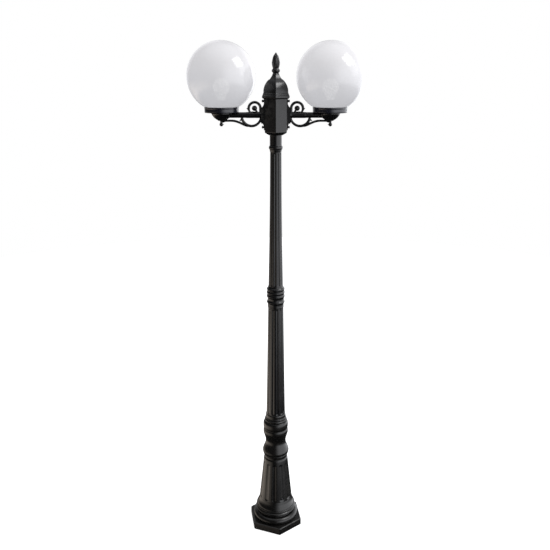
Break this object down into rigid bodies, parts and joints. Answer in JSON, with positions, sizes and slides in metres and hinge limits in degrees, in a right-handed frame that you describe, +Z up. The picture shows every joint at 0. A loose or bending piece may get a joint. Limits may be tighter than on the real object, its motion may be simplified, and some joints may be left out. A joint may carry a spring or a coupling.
{
  "type": "street lamp post",
  "caption": "Black cast lamp post on a hexagonal foot, with fluted shafts, scrolled side arms, opal globes in collars and an ogee-capped head box with a bud finial.",
  "frame": {"origin": "middle of the foot's underside, on the post's axis", "axes": "+Z up along the post, X along the two arms, Y across them"},
  "size_m": [0.635, 0.245, 1.9786],
  "materials": {
    "iron_coat": "satin black coat on cast iron",
    "cast_coat": "satin black coat on cast aluminium",
    "moulding": "smooth black moulding",
    "black_steel": "black screws",
    "zinc_steel": "zinc plated",
    "brass": "plain brass",
    "terminal_plastic": "matt ivory plastic",
    "porcelain": "glazed white",
    "seal_rubber": "soft black rubber",
    "lead_sheath": "heat-resisting sheath",
    "opal": "glossy opal acrylic",
    "bulb_glass": "frosted bulb glass",
    "cap_metal": "pressed cap"
  },
  "bodies": {
    "post": {"foot_plate": "iron_coat", "tie_tube": "zinc_steel", "bell_base": "iron_coat", "bell_screws": "black_steel", "base_coupler": "iron_coat", "lower_shaft": "cast_coat", "mid_coupling": "cast_coat", "upper_shaft": "cast_coat", "neck_collar": "cast_coat", "head_box": "cast_coat", "tie_washer": "zinc_steel", "tie_nut": "zinc_steel", "terminal_bracket": "zinc_steel", "terminal_block": "terminal_plastic", "terminal_screws": "brass", "earth_stud": "brass", "cross_strap": "zinc_steel", "cap_rod": "zinc_steel", "rod_nuts": "zinc_steel", "cap": "cast_coat", "finial": "cast_coat", "arm_left": "cast_coat", "upper_scroll_left": "cast_coat", "lower_scroll_left": "cast_coat", "bracket_screws_left": "black_steel", "collar_left": "moulding", "set_screws_left": "zinc_steel", "cup_screws_left": "zinc_steel", "globe_seal_left": "seal_rubber", "lamp_holder_left": "porcelain", "holder_contact_left": "brass", "lead_left": "lead_sheath", "arm_right": "cast_coat", "upper_scroll_right": "cast_coat", "lower_scroll_right": "cast_coat", "bracket_screws_right": "black_steel", "collar_right": "moulding", "set_screws_right": "zinc_steel", "cup_screws_right": "zinc_steel", "globe_seal_right": "seal_rubber", "lamp_holder_right": "porcelain", "holder_contact_right": "brass", "lead_right": "lead_sheath"},
    "left_globe": {"globe_left": "opal"},
    "left_bulb": {"bulb_left": "bulb_glass", "bulb_cap_left": "cap_metal"},
    "right_globe": {"globe_right": "opal"},
    "right_bulb": {"bulb_right": "bulb_glass", "bulb_cap_right": "cap_metal"}
  },
  "joints": [
    {"name": "left_globe_lift", "type": "slide", "parent": "post", "child": "left_globe", "axis": [0, 0, 1], "range_m": [0, 0.13]},
    {"name": "left_bulb_turn", "type": "hinge", "parent": "post", "child": "left_bulb", "pos_m": [-0.195, 0, 1.75], "axis": [0, 0, 1], "range_deg": [0, 720]},
    {"name": "right_globe_lift", "type": "slide", "parent": "post", "child": "right_globe", "axis": [0, 0, 1], "range_m": [0, 0.13]},
    {"name": "right_bulb_turn", "type": "hinge", "parent": "post", "child": "right_bulb", "pos_m": [0.195, 0, 1.75], "axis": [0, 0, 1], "range_deg": [0, 720]}
  ]
}
